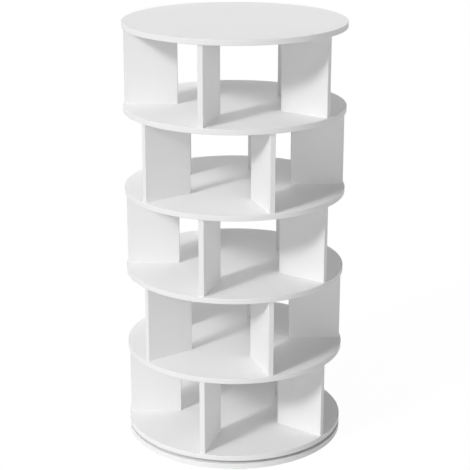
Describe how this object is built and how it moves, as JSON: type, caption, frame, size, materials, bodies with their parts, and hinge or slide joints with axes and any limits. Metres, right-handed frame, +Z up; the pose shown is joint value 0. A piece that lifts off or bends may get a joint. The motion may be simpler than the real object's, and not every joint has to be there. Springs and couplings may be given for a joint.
{
  "type": "rotating shoe tower",
  "caption": "Round storage tower for shoes, with open bays between radial dividers on stacked shelf discs, that turns on a ring bearing above a fixed base.",
  "frame": {"origin": "on the floor, on the axis that the tower turns on", "axes": "+Z up along the turning axis, -Y to the front, +X to the right seen from the front"},
  "size_m": [0.6, 0.6, 1.1655],
  "materials": {
    "white_board": "white melamine on chipboard, satin, finely textured",
    "edge_band": "white ABS edge band, satin, corners rounded",
    "dowel_wood": "plain beech",
    "zinc_screw": "zinc plated",
    "bearing_aluminium": "turned, satin",
    "ball_steel": "polished",
    "cage_plastic": "moulded nylon",
    "pad_rubber": "matt"
  },
  "bodies": {
    "base": {"base_disc": "white_board", "base_disc_edge_band": "edge_band", "non_slip_pads": "pad_rubber", "bearing_fixed_ring": "bearing_aluminium", "fixed_ring_screws": "zinc_screw"},
    "tower": {"bearing_turning_ring": "bearing_aluminium", "turning_ring_screws": "zinc_screw", "shelf_disc_1": "white_board", "shelf_disc_1_edge_band": "edge_band", "shelf_disc_2": "white_board", "shelf_disc_2_edge_band": "edge_band", "shelf_disc_3": "white_board", "shelf_disc_3_edge_band": "edge_band", "shelf_disc_4": "white_board", "shelf_disc_4_edge_band": "edge_band", "shelf_disc_5": "white_board", "shelf_disc_5_edge_band": "edge_band", "top_disc": "white_board", "top_disc_edge_band": "edge_band", "tier_1_divider_1": "white_board", "tier_1_divider_2": "white_board", "tier_1_divider_3": "white_board", "tier_1_divider_4": "white_board", "tier_1_divider_5": "white_board", "tier_1_divider_edge_bands": "edge_band", "tier_2_divider_1": "white_board", "tier_2_divider_2": "white_board", "tier_2_divider_3": "white_board", "tier_2_divider_4": "white_board", "tier_2_divider_5": "white_board", "tier_2_divider_edge_bands": "edge_band", "tier_3_divider_1": "white_board", "tier_3_divider_2": "white_board", "tier_3_divider_3": "white_board", "tier_3_divider_4": "white_board", "tier_3_divider_5": "white_board", "tier_3_divider_edge_bands": "edge_band", "tier_4_divider_1": "white_board", "tier_4_divider_2": "white_board", "tier_4_divider_3": "white_board", "tier_4_divider_4": "white_board", "tier_4_divider_5": "white_board", "tier_4_divider_edge_bands": "edge_band", "tier_5_divider_1": "white_board", "tier_5_divider_2": "white_board", "tier_5_divider_3": "white_board", "tier_5_divider_4": "white_board", "tier_5_divider_5": "white_board", "tier_5_divider_edge_bands": "edge_band", "divider_dowels": "dowel_wood", "divider_screws": "zinc_screw"},
    "cage": {"ball_cage": "cage_plastic", "bearing_balls": "ball_steel"}
  },
  "joints": [
    {"name": "tower_spin", "type": "hinge", "parent": "base", "child": "tower", "pos_m": [0, 0, 0.017], "axis": [0, 0, 1], "continuous": true},
    {"name": "cage_roll", "type": "hinge", "parent": "base", "child": "cage", "pos_m": [0, 0, 0.017], "axis": [0, 0, 1], "continuous": true}
  ],
  "couplings": [
    {"joint": "cage_roll", "follows": "tower_spin", "ratio": 0.4928}
  ]
}
